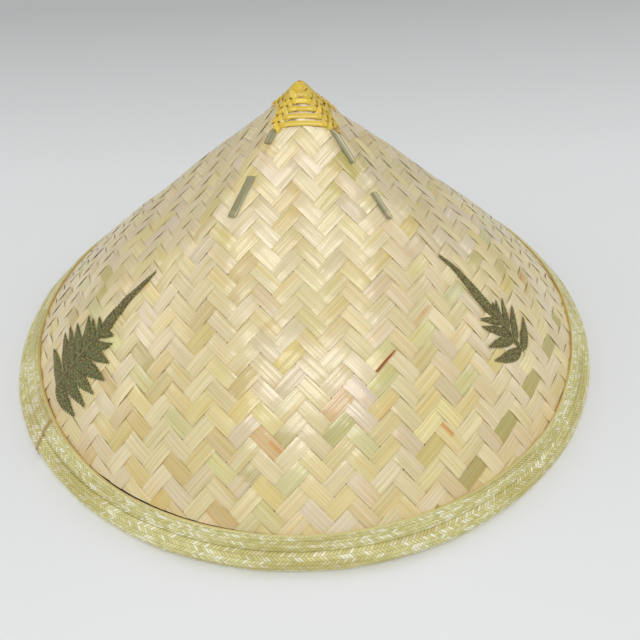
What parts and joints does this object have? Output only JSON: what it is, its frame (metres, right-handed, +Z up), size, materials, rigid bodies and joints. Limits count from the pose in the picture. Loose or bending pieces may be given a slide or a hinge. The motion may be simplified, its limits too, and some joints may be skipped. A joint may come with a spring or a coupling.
{
  "type": "woven bamboo hat",
  "caption": "Wide conical sun hat woven from flat bamboo splits, with an open plaited cap over the point, pressed fern fronds and a plaited rim binding.",
  "frame": {"origin": "on the ground under the centre of the rim, which is the middle of the base of the box around the hat", "axes": "+Z up through the hat's point, -Y towards the front with the two fern fronds, +X to the right as the front is seen"},
  "size_m": [0.41, 0.41, 0.1935],
  "materials": {
    "bamboo_split": "semi-gloss scraped bamboo",
    "bamboo_hoop": "satin",
    "rim_straw": "glossy plaited straw",
    "straw_end": "matte, frayed",
    "yellow_splint": "glossy dyed bamboo",
    "skewer": "satin",
    "pressed_leaf": "matte dried leaf"
  },
  "bodies": {
    "root": {"woven_crown": "bamboo_split", "rim_hoop": "bamboo_hoop", "rim_band": "rim_straw", "rim_roll": "rim_straw", "rim_splice": "straw_end", "crown_cap": "yellow_splint", "cap_loop": "yellow_splint", "stick_left": "skewer", "stick_right": "skewer", "fern_left": "pressed_leaf", "fern_right": "pressed_leaf"}
  },
  "joints": []
}
